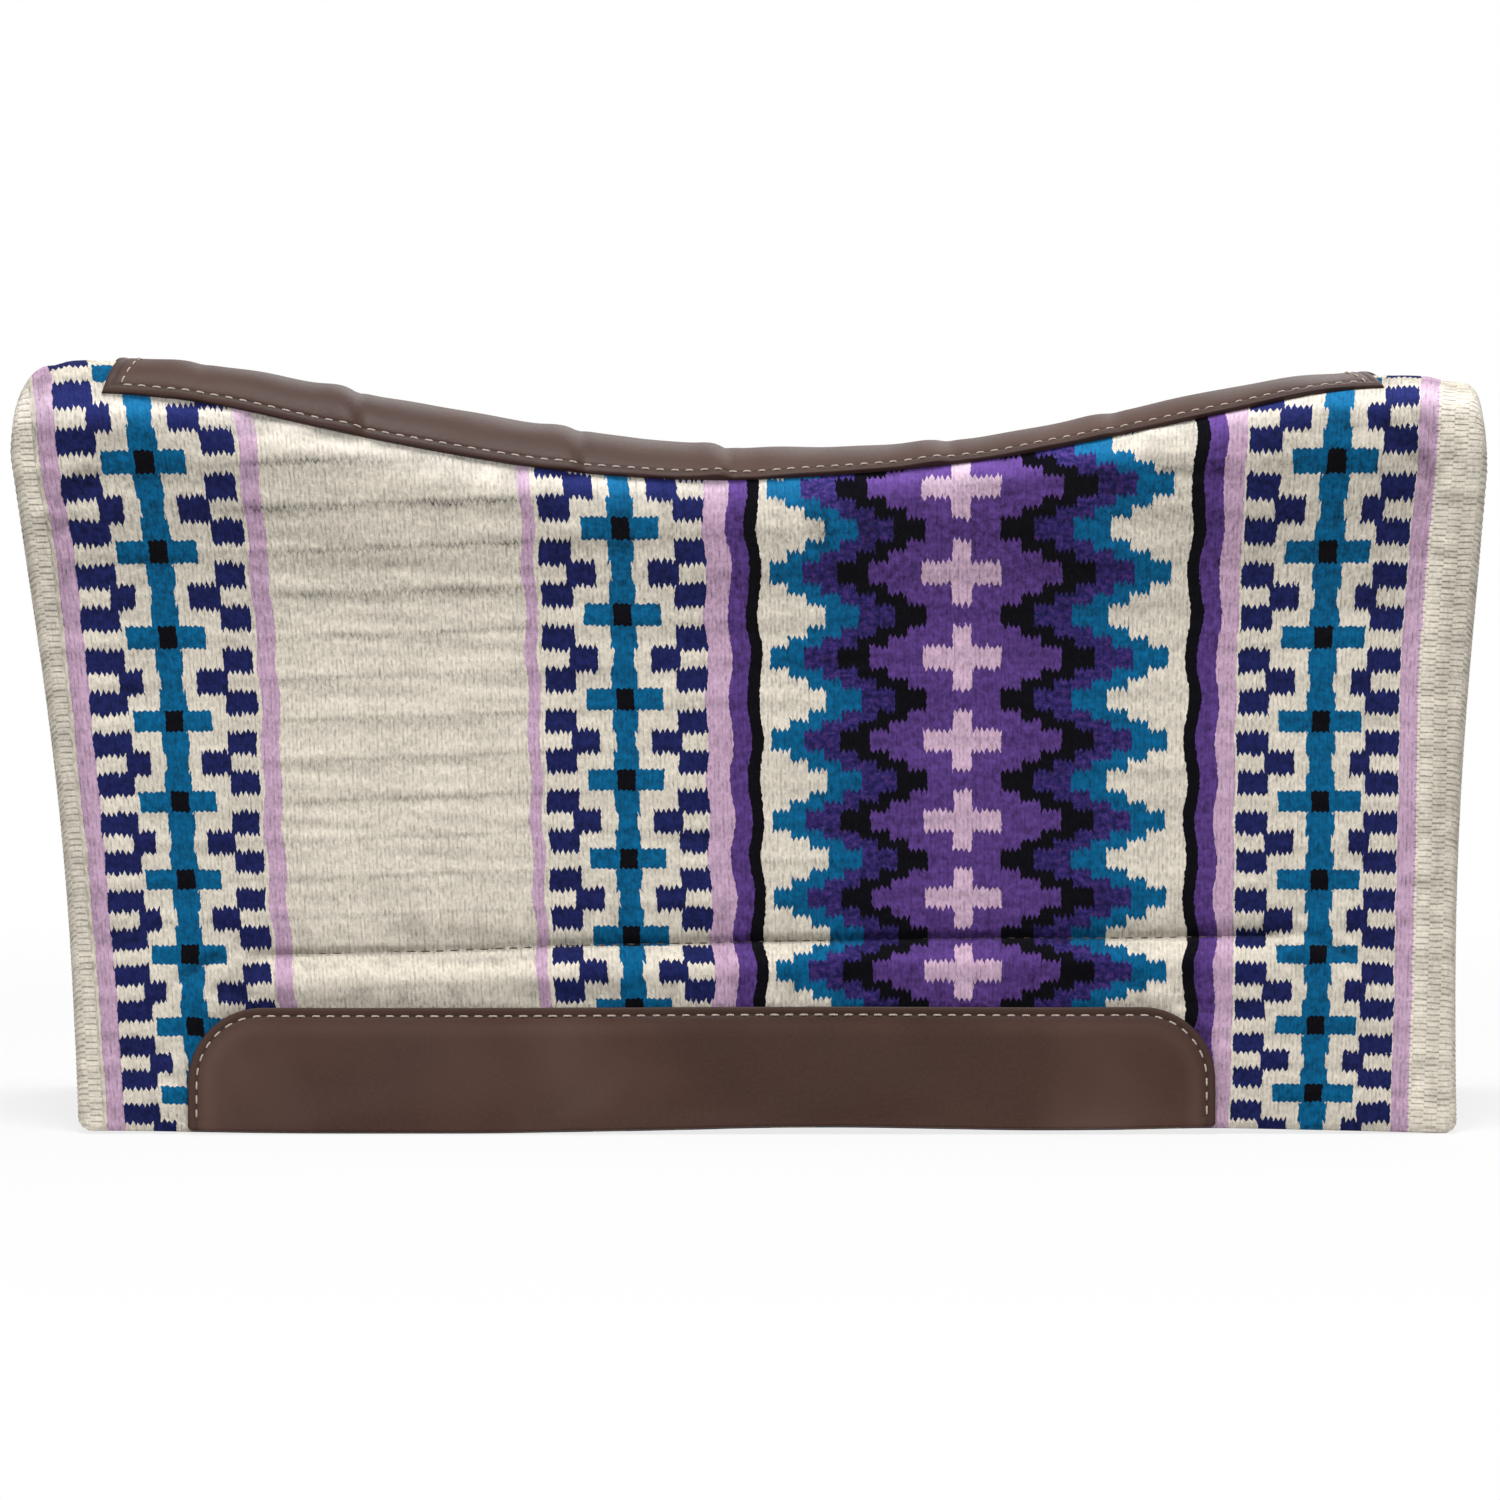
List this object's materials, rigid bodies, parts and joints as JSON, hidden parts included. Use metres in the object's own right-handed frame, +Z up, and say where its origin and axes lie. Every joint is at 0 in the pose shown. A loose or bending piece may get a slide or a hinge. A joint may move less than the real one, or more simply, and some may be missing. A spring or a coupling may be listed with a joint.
{
  "type": "saddle blanket",
  "caption": "Contoured Western saddle blanket: woven wool cover over felt core and fleece lining, leather along the spine and on each side, standing like a tent; both sides fold.",
  "frame": {"origin": "on the ground under the middle of the blanket's bounding box, with both lower edges resting on the ground", "axes": "-X to the front of the blanket, where it lies on the withers; -Y to its left side; +Z up"},
  "size_m": [0.862, 0.3836, 0.4437],
  "materials": {
    "wool": "woven wool, cream ground with teal, navy, purple, pink and black figures",
    "felt": "pressed felt, matt",
    "fleece": "short fleece, matt",
    "leather": "smooth brown leather, satin",
    "thread": "waxed tan thread"
  },
  "bodies": {
    "ridge": {"left_wool_cover_crown": "wool", "left_felt_core_crown": "felt", "left_fleece_lining_crown": "fleece", "right_wool_cover_crown": "wool", "right_felt_core_crown": "felt", "right_fleece_lining_crown": "fleece", "spine_leather": "leather", "spine_stitching": "thread"},
    "left_side": {"left_wool_cover": "wool", "left_felt_core": "felt", "left_fleece_lining": "fleece", "left_wear_leather": "leather", "left_wear_stitching": "thread", "left_quilt_stitching": "thread"},
    "right_side": {"right_wool_cover": "wool", "right_felt_core": "felt", "right_fleece_lining": "fleece", "right_wear_leather": "leather", "right_wear_stitching": "thread", "right_quilt_stitching": "thread"}
  },
  "joints": [
    {"name": "left_side_fold", "type": "hinge", "parent": "ridge", "child": "left_side", "pos_m": [0, -0.04974, 0.34573], "axis": [-1, 0, 0], "range_deg": [-25, 68]},
    {"name": "right_side_fold", "type": "hinge", "parent": "ridge", "child": "right_side", "pos_m": [0, 0.04974, 0.34573], "axis": [1, 0, 0], "range_deg": [-25, 68]}
  ]
}
